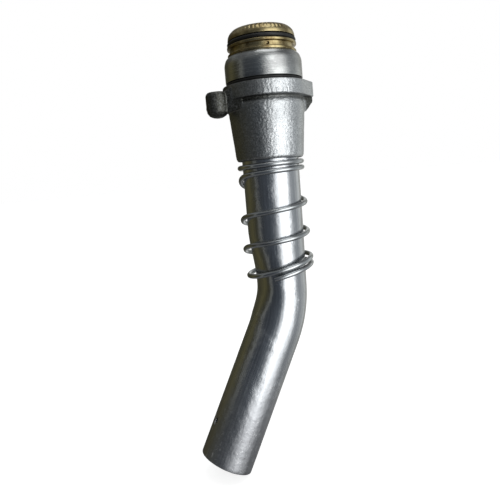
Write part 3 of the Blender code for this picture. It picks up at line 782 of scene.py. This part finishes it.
def build_tab():
    """The flange's square end: its sides run off at a tangent to the round."""
    edge = FLANGE_RADIUS - 0.15
    corner = math.atan2(TAB_HALF_WIDTH, TAB_END_X)
    turn = corner + math.acos(edge / math.hypot(TAB_HALF_WIDTH, TAB_END_X))
    blunt = 0.7
    side = [
        (edge * math.cos(turn), edge * math.sin(turn)),
        (TAB_END_X - blunt, TAB_HALF_WIDTH + 0.5 * blunt), (TAB_END_X, TAB_HALF_WIDTH - blunt),
    ]
    corners = [(x, y, 0) for x, y in side] + [(x, -y, 0) for x, y in reversed(side)]
    for i in range(17):
        angle = turn * (i / 8 - 1)
        corners.append((INNER_REACH * math.cos(angle), INNER_REACH * math.sin(angle), 0))
    return extrude("tab", corners, (0, 0, -FLANGE_THICKNESS))


def build_rough_shape(material):
    """Flange and tapered neck with the lug, its web, the tab and the passage boss joined on."""
    rim = FLANGE_RADIUS - 0.14
    outline = [
        (SOCKET_RADIUS, 0.0, 0.0), (rim, 0.0, 0.25), (rim, -FLANGE_THICKNESS, 0.7),
        (15.8, -FLANGE_THICKNESS, 0.5), (15.6, -6.8, 0.4), (16.1, -7.7, 0.5), (16.4, -9.0, 0.8),
        (16.35, -10.6, 0.8), (CONE_END_RADIUS + 0.15, CONE_END_Z + 0.9, 0.9),
        (CONE_END_RADIUS - 0.6, CONE_END_Z, 0.3), (SOCKET_RADIUS, CONE_END_Z, 0.2),
        (SOCKET_RADIUS, SOCKET_TOP_Z, 0.0), (THROUGH_BORE, SOCKET_TOP_Z, 0.0),
        (THROUGH_BORE, GUIDE_LEDGE_Z, 0.0), (SOCKET_RADIUS, GUIDE_LEDGE_Z, 0.0),
    ]
    body = lathe("adaptor_casting_skin", outline, material, 120)
    root = LUG_X + 2.4
    reach = INNER_REACH
    web = [(root, 3.4, -11.1, LUG_TOP_Z - 0.3), (-17.2, 5.6, -10.5, -1.1), (-reach, 8.6, -10.0, -0.9)]
    boss = [(reach, 7.6, -12.4, -4.6), (16.0, 6.4, -11.9, -4.6), (BOSS_END_X, 4.6, -7.9, -4.6)]
    added = [build_lug(), tapered_bar("web", web), build_tab(), tapered_bar("boss", boss)]
    combine(body, added, "UNION")
    passage = rod("passage", (PASSAGE_X, 0, 5), (PASSAGE_X, 0, CROSS_HOLE_Z), PASSAGE_RADIUS)
    cross_hole = rod("cross", (8, 0, CROSS_HOLE_Z), (30, 0, CROSS_HOLE_Z), CROSS_HOLE_RADIUS)
    combine(body, [passage, cross_hole], "DIFFERENCE")
    return body


def build_cast_body(material):
    """The rough part of the casting, with its corners softened and its skin uneven."""
    body = build_rough_shape(material)
    remesh = body.modifiers.new("remesh", "REMESH")
    remesh.mode = "VOXEL"
    remesh.voxel_size = CAST_VOXEL
    remesh.use_smooth_shade = True
    soften = body.modifiers.new("soften", "SMOOTH")
    soften.factor = 0.5
    soften.iterations = 6
    apply_modifiers(body)
    mesh = body.data
    mesh.materials.clear()
    mesh.materials.append(material)
    points = points_of(mesh)
    normals = normals_of(mesh)
    on_face = (points[:, 2] > -0.35) & (normals[:, 2] > 0.6)
    radius = np.hypot(points[:, 0], points[:, 1])
    inside = radius < 12.9
    coarse = 0.034 + 0.008 * smooth(radius, 16.9, 17.6)
    skin = ripple(points, 5.0, 3) * 0.04 + (ripple(points, 1.1, 4) + ripple(points, 0.6, 5)) * coarse
    skin = (skin - 0.07) * ~(on_face | inside) + casting_marks(points) * MARK_RISE
    points += normals * skin[:, None]
    points[on_face, 2] = np.minimum(points[on_face, 2], 0.0)
    set_points(mesh, points)
    # Stores the share of painted shade for the casting's material.
    painted_shade = mesh.attributes.new("painted_shade", "FLOAT", "POINT")
    painted_shade.data.foreach_set("value", casting_painted_shade(points).astype(np.float32))
    own(body, "adaptor_casting")


def build_spigot(material):
    """The machined spigot above the flange, with its rounded shoulder and O-ring groove."""
    outline = [
        (13.0, SPIGOT_TOP_Z, 0.0), (14.6, SPIGOT_TOP_Z, 0.2), (15.7, 11.0, 1.0),
        (SPIGOT_RADIUS, 9.0, 1.2), (SPIGOT_RADIUS, 1.6, 0.25), (SPIGOT_GROOVE_FLOOR, 1.6, 0.1),
        (SPIGOT_GROOVE_FLOOR, 0.2, 0.1), (SPIGOT_RADIUS, 0.2, 0.1), (SPIGOT_RADIUS, -0.4, 0.0),
        (SPIGOT_BORE, -0.4, 0.0), (SPIGOT_BORE, 3.6, 0.0), (13.0, 3.6, 0.0),
    ]
    own(lathe("adaptor_spigot_skin", outline, material, 160), "adaptor_casting")


# ---- inlet ring and seals


def knurled(radius, height, angle):
    """Presses shallow notches into the rounded crown of the inlet ring."""
    window = float(smooth(height, 19.8, 20.8)) * float(smooth(radius, 12.2, 12.9))
    turn = (angle * RING_TEETH / (2 * math.pi)) % 1.0
    notch = max(0.0, 1 - abs(turn - 0.5) / 0.30)
    depth = 0.16 * window * notch
    return radius - depth, height - 0.35 * depth


def build_seat_ring(material):
    """The inlet ring: grooves, knurled crown, valve seat and inclined vacuum holes."""
    top = RING_HIGH.z
    outline = [
        (SEAT_LINE - 8.3, 4.0, 0.1), (RING_SHANK, 4.0, 0.3), (RING_SHANK, 12.1, 0.0),
        (RING_RADIUS - 0.05, 12.1, 0.25), (RING_RADIUS - 0.05, 13.1, 0.25), (13.5, 13.3, 0.2),
        (13.4, 15.1, 0.2), (RING_RADIUS, 15.3, 0.25), (RING_RADIUS, 16.3, 0.3), (12.6, 16.3, 0.2),
        (12.6, 18.4, 0.2), (RING_RADIUS - 0.4, 18.4, 0.25), (RING_RADIUS - 0.6, 20.0, 0.7),
        (RING_RADIUS - 1.2, 21.2, 0.7), (RING_RADIUS - 2.2, 22.1, 0.5), (12.0, top, 0.3),
        (10.6, 20.6, 0.8), (9.6, 18.4, 1.0), (THROAT_RADIUS, 15.6, 1.0),
        (THROAT_RADIUS, SEAT_LINE - THROAT_RADIUS, 0.2), (SEAT_LINE - 8.3, 8.3, 0.2),
    ]
    ring = lathe("seat_ring_skin", outline, material, RING_TEETH * 8, None, knurled)
    # each vacuum hole has a round mouth in the groove, and slopes down to the seat
    mouth = ((14.4, 0, 14.1), (12.6, 0, 14.1), 0.55)
    slope = ((12.9, 0, 14.3), (8.9, 0, 8.24), 0.4)
    holes = []
    for i in range(VACUUM_HOLES):
        spin = Matrix.Rotation(2 * math.pi / VACUUM_HOLES * i + FIRST_VACUUM_HOLE, 3, "Z")
        for start, end, radius in (mouth, slope):
            holes.append(rod("hole", spin @ Vector(start), spin @ Vector(end), radius, 24))
    combine(ring, holes, "DIFFERENCE")
    own(ring, "seat_ring")


def o_ring(node, centre_radius, height, section, material, flat=1.0):
    """A round-section ring with a faint mould line round its outside."""
    steps = 28
    outline = []
    for i in range(steps):
        angle = 2 * math.pi * (i + 0.5) / steps
        line = 0.03 if min(i, steps - 1 - i) == 0 else 0.0
        outline.append(
            (centre_radius + (section + line) * math.cos(angle), height + section * flat * math.sin(angle))
        )
    turned_piece(node, outline, material, 144)


# ---- springs


def wire(name, points, radius, material, facets=20):
    """A round wire along a line of points, with sheared ends."""
    bm = bmesh.new()
    rows = []
    flow = []
    count = len(points)
    along = 0.0
    for i, point in enumerate(points):
        tangent = (points[min(i + 1, count - 1)] - points[max(i - 1, 0)]).normalized()
        side = Vector((0, 0, 1)).cross(tangent).normalized()
        up = tangent.cross(side)
        along += (point - points[max(i - 1, 0)]).length
        thick = radius * (0.88 if i in (0, count - 1) else 1.0)
        row = []
        for j in range(facets):
            angle = 2 * math.pi * j / facets
            row.append(bm.verts.new(point + thick * (side * math.cos(angle) + up * math.sin(angle))))
            flow.append((radius * math.cos(angle), radius * math.sin(angle), along))
        rows.append(row)
    join_rows(bm, rows, False)
    bm.faces.new(rows[0])
    bm.faces.new(rows[-1])
    made = finish_mesh(bm, name, material, 50.0)
    set_flow(made.data, np.array(flow))
    return made


def retaining_pitch(turn):
    """Drop per turn of the retaining spring. Its ends are closed, its second coil is stretched,
    the fourth drops onto the last, and the open coils drop most steeply on one side."""
    closed = 2 * COIL_WIRE + 0.15
    open_share = smooth(turn, 0.55, 1.5) * (1 - smooth(turn, 3.95, 4.25))
    steep = max(0.0, math.cos(2 * math.pi * (turn - COIL_LEFT))) ** 8
    stretched = 9.0 * smooth(turn, 1.5, 1.75) * (1 - smooth(turn, 1.95, 2.25))
    slow_start = -5.0 * smooth(turn, 0.8, 1.1) * (1 - smooth(turn, 1.4, 1.65))
    opened = (COIL_PITCH - closed) * open_share * (0.73 + 2 * steep)
    dropped = 5.0 * smooth(turn, 3.6, 3.8) * (1 - smooth(turn, 3.9, 4.1))
    end_gap = 0.5 * smooth(turn, 4.3, 4.5)
    return float(closed + opened + stretched + slow_start + dropped + end_gap)


def build_retaining_spring(material):
    """Hugs the tube at its upper end; the last coil is closed, tilted and off centre."""
    count = round(COIL_TURNS * COIL_STEPS)
    step = COIL_TURNS / count
    height = COIL_HIGH.z - COIL_WIRE - 0.02
    tight = TUBE_RADIUS + BODY_EXTRA + COIL_WIRE + 0.08
    points = []
    for i in range(count + 1):
        turn = i * step
        angle = COIL_START - 2 * math.pi * turn
        radius = tight + 0.6 * float(smooth(turn, 1.6, 2.6))
        loose = float(smooth(turn, 3.6, 4.1))
        tilt = COIL_TILT * loose * math.cos(2 * math.pi * (turn - COIL_LEFT - 0.5))
        point = Vector((radius * math.cos(angle), radius * math.sin(angle), height + tilt))
        points.append(point + COIL_SHIFT * loose)
        height -= retaining_pitch(turn + step / 2) * step
    spring = wire("retaining_spring_coil", points, COIL_WIRE, material)
    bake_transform(spring)
    own(spring, "retaining_spring", False)


def build_poppet_spring(material):
    """A light right-handed coil whose end turns are nearly closed."""
    low, high = box_mm("poppet_spring")
    wire_radius, radius, turns, end_share, count = 0.4, 4.5, 5.0, 0.12, 200
    bottom, top = low.z + wire_radius, high.z - wire_radius

    def height_at(turn):
        if turn < 1:
            share = end_share * turn
        elif turn > turns - 1:
            share = 1 - end_share * (turns - turn)
        else:
            share = end_share + (1 - 2 * end_share) * (turn - 1) / (turns - 2)
        return top - (top - bottom) * share

    coil = []
    for i in range(count + 1):
        turn = turns * i / count
        angle = -2 * math.pi * turn
        coil.append(Vector((radius * math.cos(angle), radius * math.sin(angle), height_at(turn))))
    spring = wire("poppet_spring_coil", coil, wire_radius, material, 12)
    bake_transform(spring)
    own(spring, "poppet_spring", False)


# ---- check valve


def build_poppet(brass, rubber, steel):
    """The moving stack seen through the inlet: nose, nut, seal and stem."""
    hole = 1.3
    disc = POPPET_DISC_Z
    stud_top = POPPET_HIGH.z
    stem = [
        (0, POPPET_LOW.z), (STEM_RADIUS - 0.4, POPPET_LOW.z), (STEM_RADIUS, POPPET_LOW.z + 0.4),
        (STEM_RADIUS, disc - 1.5), (3.2, disc - 0.4), (3.2, disc), (8.2, disc), (8.4, disc + 0.2),
        (8.4, disc + 1.4), (8.2, disc + 1.6), (1.2, disc + 1.6),
    ]
    thread_start, thread_end = 16.6, stud_top - 0.3
    threads = round((thread_end - thread_start) / 0.25)
    for i in range(threads + 1):
        height = thread_start + (thread_end - thread_start) * i / threads
        stem.append((1.2 if i % 2 == 0 else 1.05, height))
    stem += [(0.9, stud_top), (0, stud_top)]
    turned_piece("poppet_stem", stem, brass, 72)
    seal = [
        (hole, 8.7, 0.1), (10.2, 8.7, 0.2), (10.2, 9.2, 0.2), (9.0, 10.4, 0.2), (hole, 10.4, 0.1),
    ]
    turned_piece("poppet_seal", seal, rubber)
    nose = [
        (hole, 10.5, 0.0), (8.4, 10.5, 0.2), (8.1, 11.6, 0.5), (7.2, 13.2, 0.9), (5.6, 14.9, 0.9),
        (3.4, 16.1, 0.8), (hole, 16.4, 0.1),
    ]
    turned_piece("poppet_nose", nose, brass)
    build_nut(steel)


def build_nut(steel):
    """A hexagon nut with chamfered corners."""
    flat = 2.6 * math.cos(math.pi / 6)

    def hexagon(radius, height, angle):
        if radius < 2.0:
            return radius, height
        turn = (angle + math.pi / 6) % (math.pi / 3) - math.pi / 6
        side = flat / math.cos(turn) if radius > 2.4 else radius
        return min(side, 2.6), height

    outline = [
        (1.45, 16.5), (2.2, 16.5), (2.5, 16.75), (2.5, 17.85), (2.2, 18.1), (1.45, 18.1),
    ]
    turned_piece("poppet_nut", outline, steel, 72, Matrix.Rotation(math.pi / 6, 4, "Z"), hexagon)


# ---- vent line and ball valve


def pipe(name, points, outer, inner, material, facets):
    """A hollow pipe along a line of points in the XZ plane."""
    bm = bmesh.new()
    side = Vector((0, 1, 0))
    count = len(points)
    outside, inside = [], []
    for i, point in enumerate(points):
        tangent = (points[min(i + 1, count - 1)] - points[max(i - 1, 0)]).normalized()
        up = tangent.cross(side)
        for rows, radius in ((outside, outer), (inside, inner)):
            row = []
            for j in range(facets):
                angle = 2 * math.pi * j / facets
                row.append(bm.verts.new(point + radius * (side * math.cos(angle) + up * math.sin(angle))))
            rows.append(row)
    join_rows(bm, outside + list(reversed(inside)), True)
    return finish_mesh(bm, name, material, 50.0)


def vent_point(distance):
    centre, _, outward = spout_frame(distance)
    crossed = float(smooth(distance, -60, TIP_DISTANCE - HOUSING_TOP - 10.8))
    return centre + outward * (VENT_X * (1 - crossed) - HOUSING_OFFSET * crossed)


def build_vent_line(nylon, brass):
    first = BEND_START_Z - (CROSS_HOLE_Z - 3.2)
    last = TIP_DISTANCE - HOUSING_TOP - 0.3
    steps = 64
    line = [vent_point(first + (last - first) * i / steps) for i in range(steps + 1)]
    own(pipe("vent_tube_skin", line, VENT_OUTER, VENT_INNER, nylon, 32), "vent_tube")
    plug_start = PASSAGE_X + 1.2
    place = Matrix.Translation((plug_start, 0, CROSS_HOLE_Z)) @ Matrix.Rotation(math.pi / 2, 4, "Y")
    face = BOSS_END_X - 0.2 - plug_start
    plug = [
        (0, 0), (1.1, 0), (1.1, face - 0.15), (0.95, face), (0.5, face), (0.35, face - 0.3),
        (0, face - 0.3),
    ]
    turned_piece("passage_plug", plug, brass, 48, place)


def build_ball_valve(brass):
    """The ball's housing and its end plug, which show inside the tube's end."""
    place = tip_placement(-HOUSING_OFFSET)
    low = CHAMBER_FLOOR - 2.5
    nipple, nipple_top, bore = VENT_INNER - 0.1, HOUSING_TOP + 5.8, 0.7
    seat_top = CHAMBER_FLOOR + 11.1
    outline = [
        (CHAMBER_RADIUS, low, 0.0), (HOUSING_RADIUS - 0.3, low, 0.15),
        (HOUSING_RADIUS, low + 0.4, 0.2), (HOUSING_RADIUS, low + 0.9, 0.1),
        (HOUSING_RADIUS - 0.25, low + 1.1, 0.1), (HOUSING_RADIUS - 0.25, low + 1.7, 0.1),
        (HOUSING_RADIUS, low + 1.9, 0.1), (HOUSING_RADIUS, HOUSING_TOP - 1.0, 0.4),
        (HOUSING_RADIUS - 0.8, HOUSING_TOP, 0.3), (nipple, HOUSING_TOP, 0.2),
        (nipple, nipple_top, 0.2), (bore, nipple_top, 0.0), (bore, seat_top, 0.0),
        (CHAMBER_RADIUS, seat_top, 0.0),
    ]
    housing = lathe("ball_housing_skin", outline, brass, 72, place)
    inside = tip_point(PORT_DISTANCE, -HOUSING_OFFSET)
    outside = tip_point(PORT_DISTANCE, -HOUSING_OFFSET - 6)
    combine(housing, [rod("port", inside, outside, PORT_BUSH_RADIUS + 0.1)], "DIFFERENCE")
    own(housing, "ball_housing")
    fit = CHAMBER_RADIUS - 0.1
    plug = [
        (0, low + 0.5), (0.5, low + 0.5), (0.6, low + 0.1), (fit - 0.15, low), (fit, low + 0.15),
        (fit, CHAMBER_FLOOR), (0, CHAMBER_FLOOR),
    ]
    turned_piece("ball_end_plug", plug, brass, 48, place)


def build_port_bush(material):
    """The eyelet between the ball's housing and the sensing hole."""
    outward = spout_frame(TIP_DISTANCE)[2]
    turn = (-outward).to_track_quat("Z", "Y").to_matrix().to_4x4()
    place = Matrix.Translation(tip_point(PORT_DISTANCE, 0)) @ turn
    inner_end = HOUSING_OFFSET + 1.95
    face = TUBE_RADIUS - 0.15
    outline = [
        (1.1, inner_end, 0.0), (PORT_BUSH_RADIUS, inner_end, 0.0), (PORT_BUSH_RADIUS, face, 0.15),
        (1.1, face, 0.3),
    ]
    turned_piece("sensing_port_bush", outline, material, 48, place)


# ---- studio


CAMERA_AZIMUTH = math.radians(-21.0)
CAMERA_ELEVATION = math.radians(8.5)
CAMERA_ROLL = math.radians(-4.93)
CAMERA_DISTANCE = 224.0
CAMERA_TARGET = Vector((0, 0, -71.1))
CAMERA_SHIFT = -12.24  # to the camera's right


def camera_axes():
    """The camera's right, up and backward directions."""
    cos_e = math.cos(CAMERA_ELEVATION)
    back = Vector(
        (math.sin(CAMERA_AZIMUTH) * cos_e, -math.cos(CAMERA_AZIMUTH) * cos_e, math.sin(CAMERA_ELEVATION))
    )
    level = Vector((math.cos(CAMERA_AZIMUTH), math.sin(CAMERA_AZIMUTH), 0))
    upright = back.cross(level)
    right = level * math.cos(CAMERA_ROLL) + upright * math.sin(CAMERA_ROLL)
    up = upright * math.cos(CAMERA_ROLL) - level * math.sin(CAMERA_ROLL)
    return right, up, back


def build_camera():
    right, up, back = camera_axes()
    data = bpy.data.cameras.new("camera")
    data.lens = 36.0
    data.sensor_width = 36.0
    data.clip_start = 0.005
    data.clip_end = 50.0
    made = add_object("camera", data)
    place = Matrix((right, up, back)).transposed().to_4x4()
    spot = CAMERA_TARGET + back * CAMERA_DISTANCE + right * CAMERA_SHIFT
    place.translation = spot * MM + FLANGE_CENTRE
    made.matrix_world = place
    bpy.context.scene.camera = made


# Brightness round the horizon as metal sees it: (degrees to the right of the camera, colour)
SURROUNDINGS = (
    (-180, (0.45, 0.45, 0.43)),
    (-170, (0.10, 0.10, 0.07)),
    (-140, (0.055, 0.052, 0.032)),
    (-112, (0.120, 0.107, 0.052)),
    (-92, (0.055, 0.052, 0.032)),
    (-79, (0.055, 0.054, 0.042)),
    (-71, (0.28, 0.28, 0.26)),
    (-63, (0.048, 0.053, 0.060)),
    (-30, (0.062, 0.070, 0.083)),
    (-8, (0.11, 0.125, 0.145)),
    (4, (0.42, 0.44, 0.46)),
    (14, (1.7, 1.7, 1.7)),
    (24, (2.5, 2.5, 2.5)),
    (55, (2.4, 2.4, 2.4)),
    (65, (0.95, 0.97, 0.98)),
    (77, (0.42, 0.44, 0.46)),
    (100, (0.46, 0.48, 0.49)),
    (124, (0.85, 0.86, 0.84)),
    (146, (0.30, 0.30, 0.27)),
    (160, (0.75, 0.75, 0.73)),
    (174, (0.85, 0.85, 0.83)),
    (180, (0.45, 0.45, 0.43)),
)


def build_world():
    """A pale backdrop to the camera, and a soft studio with dark flags to the metal."""
    world = bpy.data.worlds.new("studio")
    bpy.context.scene.world = world
    world.use_nodes = True
    tree = world.node_tree
    tree.nodes.clear()
    g = Graph(tree)
    ray = g.node("ShaderNodeTexCoord").outputs["Generated"]
    level = Vector((math.cos(CAMERA_AZIMUTH), math.sin(CAMERA_AZIMUTH), 0))
    toward = Vector((math.sin(CAMERA_AZIMUTH), -math.cos(CAMERA_AZIMUTH), 0))
    side = g.node("ShaderNodeVectorMath", {0: ray, 1: level}, operation="DOT_PRODUCT").outputs["Value"]
    front = g.node("ShaderNodeVectorMath", {0: ray, 1: toward}, operation="DOT_PRODUCT").outputs["Value"]
    angle = g.math("ARCTAN2", side, front)
    turn = g.math("ADD", g.math("DIVIDE", angle, 2 * math.pi), 0.5)
    ramp = g.node("ShaderNodeValToRGB", {"Fac": turn})
    stops = ramp.color_ramp.elements
    while len(stops) > 1:
        stops.remove(stops[-1])
    for i, (degrees, colour) in enumerate(SURROUNDINGS):
        stop = stops[0] if i == 0 else stops.new(0.5 + degrees / 360)
        stop.position = 0.5 + degrees / 360
        stop.color = (*colour, 1.0)
    height = g.node("ShaderNodeSeparateXYZ", {0: ray}).outputs["Z"]
    above = g.span(height, 0.24, 0.75)
    below = g.span(height, -0.34, -0.80)
    colour = g.mix(above, ramp.outputs["Color"], (0.22, 0.225, 0.23))
    colour = g.mix(below, colour, (0.16, 0.16, 0.165))
    studio = g.node("ShaderNodeBackground", {"Color": colour, "Strength": 1.0})
    backdrop = g.node("ShaderNodeBackground", {"Color": (1.0, 1.0, 1.0, 1.0), "Strength": 1.0})
    seen = g.node("ShaderNodeLightPath").outputs["Is Camera Ray"]
    both = g.node("ShaderNodeMixShader", {0: seen, 1: studio.outputs[0], 2: backdrop.outputs[0]})
    g.node("ShaderNodeOutputWorld", {"Surface": both.outputs[0]})


def build_floor():
    """A large pale floor that shows only from above."""
    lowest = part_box("spout_tube")[0].z - 0.0003
    bm = bmesh.new()
    bmesh.ops.create_circle(bm, cap_ends=True, segments=96, radius=9.0)
    bmesh.ops.translate(bm, verts=bm.verts, vec=(0, 0, lowest))
    mesh = bpy.data.meshes.new("floor")
    bm.to_mesh(mesh)
    bm.free()
    floor = add_object("floor", mesh)
    made = bpy.data.materials.new("pale_floor")
    made.use_nodes = True
    tree = made.node_tree
    tree.nodes.clear()
    g = Graph(tree)
    matte = g.node("ShaderNodeBsdfDiffuse", {"Color": (0.9, 0.9, 0.9, 1.0)})
    lift = g.node("ShaderNodeEmission", {"Color": (1.0, 1.0, 1.0, 1.0), "Strength": 0.8})
    lit = g.node("ShaderNodeAddShader", {0: matte.outputs[0], 1: lift.outputs[0]})
    clear = g.node("ShaderNodeBsdfTransparent")
    under = g.node("ShaderNodeNewGeometry").outputs["Backfacing"]
    both = g.node("ShaderNodeMixShader", {0: under, 1: lit.outputs[0], 2: clear.outputs[0]})
    g.node("ShaderNodeOutputMaterial", {"Surface": both.outputs[0]})
    mesh.materials.append(made)
    floor.visible_glossy = False
    floor.visible_diffuse = False


def build_light(name, place, aim, size, power):
    """A soft round lamp; place and aim are in metres from the flange's centre."""
    data = bpy.data.lights.new(name, "AREA")
    data.shape = "DISK"
    data.size = size
    data.energy = power
    made = add_object(name, data)
    made.location = FLANGE_CENTRE + Vector(place)
    made.rotation_euler = (Vector(aim) - Vector(place)).to_track_quat("-Z", "Y").to_euler()


# ---- assembly


def main():
    cast = cast_skin()
    turned = turned_aluminium()
    drawn = drawn_aluminium()
    brass = tarnished_brass()
    inner_brass = clean_brass()
    steel = bright_steel()
    coil_steel = spring_wire()
    rubber = black_rubber()
    nylon = moulded_plastic("milky_nylon", (0.80, 0.77, 0.66), (0.70, 0.66, 0.53), 0.25)
    acetal = moulded_plastic("white_acetal", (0.82, 0.81, 0.78), (0.74, 0.73, 0.69), 0.0)

    plain = {
        "tube_o_ring": rubber,
        "poppet_guide": acetal,
        "guide_bush": inner_brass,
        "guide_snap_ring": steel,
        "vent_elbow": inner_brass,
        "ball_seat": acetal,
        "sensing_ball": steel,
    }
    for name, material in plain.items():
        mesh = frame["nodes"][name].data
        mesh.materials.clear()
        mesh.materials.append(material)

    build_spout_tube(drawn)
    build_cast_body(cast)
    build_spigot(turned)
    build_seat_ring(brass)
    o_ring("seat_ring_o_ring", 13.6, 17.35, 0.86, rubber)
    o_ring("spigot_o_ring", 15.68, 0.9, 0.61, rubber, 1.08)
    build_retaining_spring(coil_steel)
    build_poppet_spring(coil_steel)
    build_poppet(inner_brass, rubber, steel)
    build_vent_line(nylon, inner_brass)
    build_ball_valve(inner_brass)
    build_port_bush(drawn)

    build_camera()
    build_world()
    build_floor()
    build_light("overhead", (0.05, -0.15, 0.55), (0, 0, -0.07), 0.45, 0.7)
    bpy.context.scene.view_settings.view_transform = "Standard"


main()
